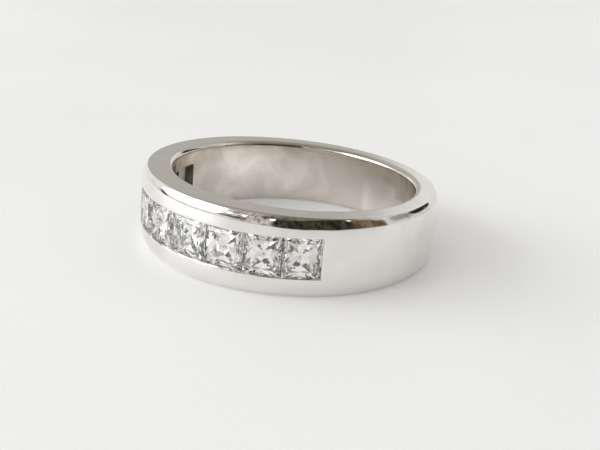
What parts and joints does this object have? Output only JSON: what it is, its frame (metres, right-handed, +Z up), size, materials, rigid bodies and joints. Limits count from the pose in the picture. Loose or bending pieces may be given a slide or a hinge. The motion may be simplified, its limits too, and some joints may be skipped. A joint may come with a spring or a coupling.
{
  "type": "channel-set diamond ring",
  "caption": "Polished white-gold band ring, taller and thicker at the head, with a row of square diamonds flush in a channel.",
  "frame": {"origin": "under the middle of the ring's box, on the surface that the ring lies on", "axes": "+Z up, away from the surface, nearly along the finger hole; -Y towards the middle of the row of stones; +X completes the frame"},
  "size_m": [0.0208, 0.0208, 0.0054],
  "materials": {
    "white_gold": "mirror-polished white gold with fine wear scratches",
    "diamond": "clear, faceted and polished"
  },
  "bodies": {
    "root": {"band": "white_gold", "diamond_1": "diamond", "diamond_2": "diamond", "diamond_3": "diamond", "diamond_4": "diamond", "diamond_5": "diamond", "diamond_6": "diamond", "diamond_7": "diamond", "diamond_8": "diamond", "diamond_9": "diamond"}
  },
  "joints": []
}
